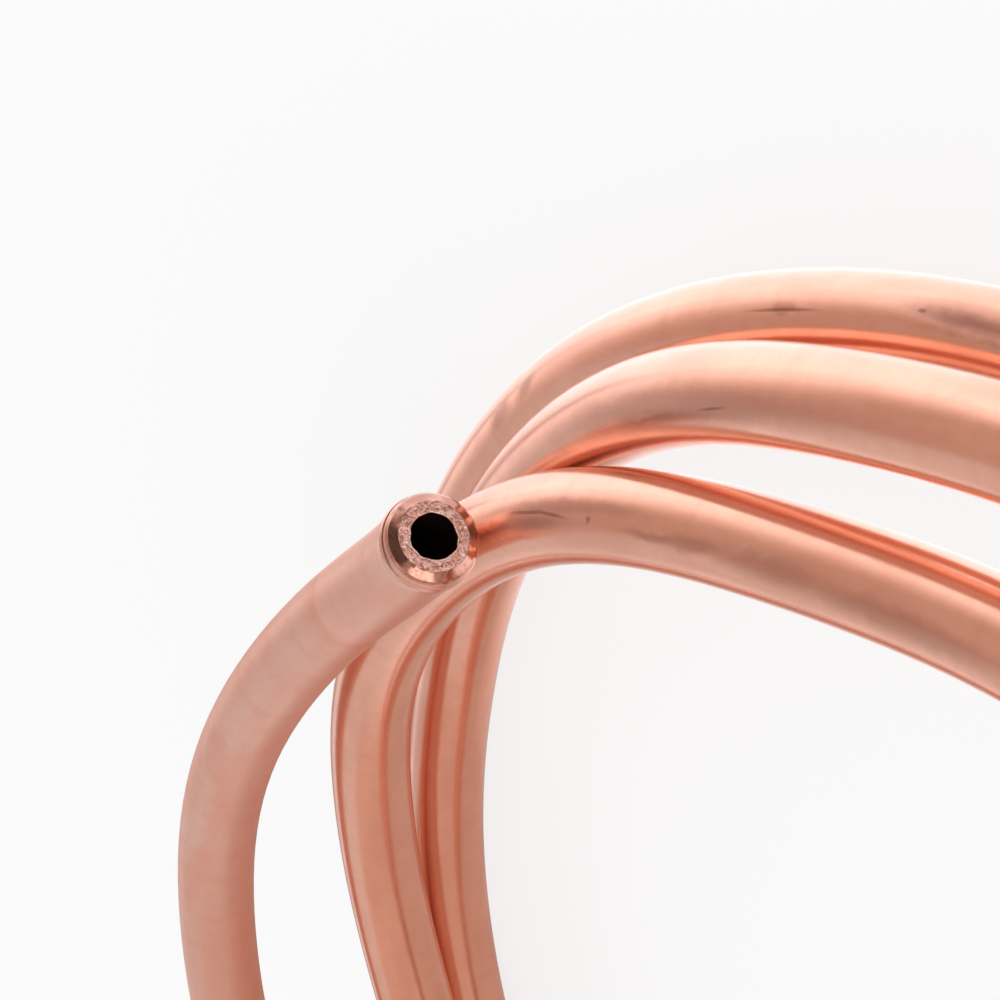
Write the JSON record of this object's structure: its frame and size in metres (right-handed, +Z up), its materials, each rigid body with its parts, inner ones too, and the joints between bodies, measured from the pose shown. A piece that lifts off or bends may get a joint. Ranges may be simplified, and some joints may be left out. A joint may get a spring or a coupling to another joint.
{
  "type": "copper tube coil",
  "caption": "Soft copper tube in a loose hand-wound coil lying on its side, with wheel-cut ends and a free end that stands clear.",
  "frame": {"origin": "on the floor, under the middle of the coil's box", "axes": "+Z up along the axis of the coil, -Y the way the cut free end faces"},
  "size_m": [0.1502, 0.16, 0.0284],
  "materials": {
    "copper": "satin"
  },
  "bodies": {
    "root": {"copper_tube": "copper"}
  },
  "joints": []
}
